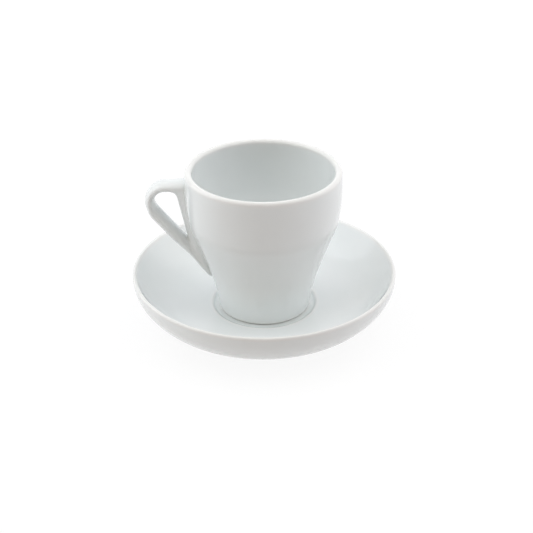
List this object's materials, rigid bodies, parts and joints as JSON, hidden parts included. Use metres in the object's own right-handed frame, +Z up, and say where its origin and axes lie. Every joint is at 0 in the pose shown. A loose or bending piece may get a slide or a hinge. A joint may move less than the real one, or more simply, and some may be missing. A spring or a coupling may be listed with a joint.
{
  "type": "cappuccino cup with saucer",
  "caption": "Tall white porcelain cappuccino cup, tapered to its foot, with a looped strap handle, standing in the shallow seat of a deep round saucer.",
  "frame": {"origin": "on the axis of the saucer and cup, in the plane that the saucer's foot ring stands on", "axes": "+Z up along the axis, the handle points along -X, and the handle's own plane is y = 0"},
  "size_m": [0.145, 0.145, 0.0884],
  "materials": {
    "saucer_porcelain": "clear gloss glaze over white hard porcelain, bare on the foot ring",
    "cup_porcelain": "clear gloss glaze over white hard porcelain, bare on the foot ring",
    "handle_porcelain": "clear gloss glaze over white hard porcelain"
  },
  "bodies": {
    "saucer": {"saucer": "saucer_porcelain"},
    "cup": {"cup_body": "cup_porcelain", "handle": "handle_porcelain"}
  },
  "joints": [
    {"name": "cup_lift", "type": "slide", "parent": "saucer", "child": "cup", "axis": [0, 0, 1], "range_m": [0, 0.12]}
  ]
}
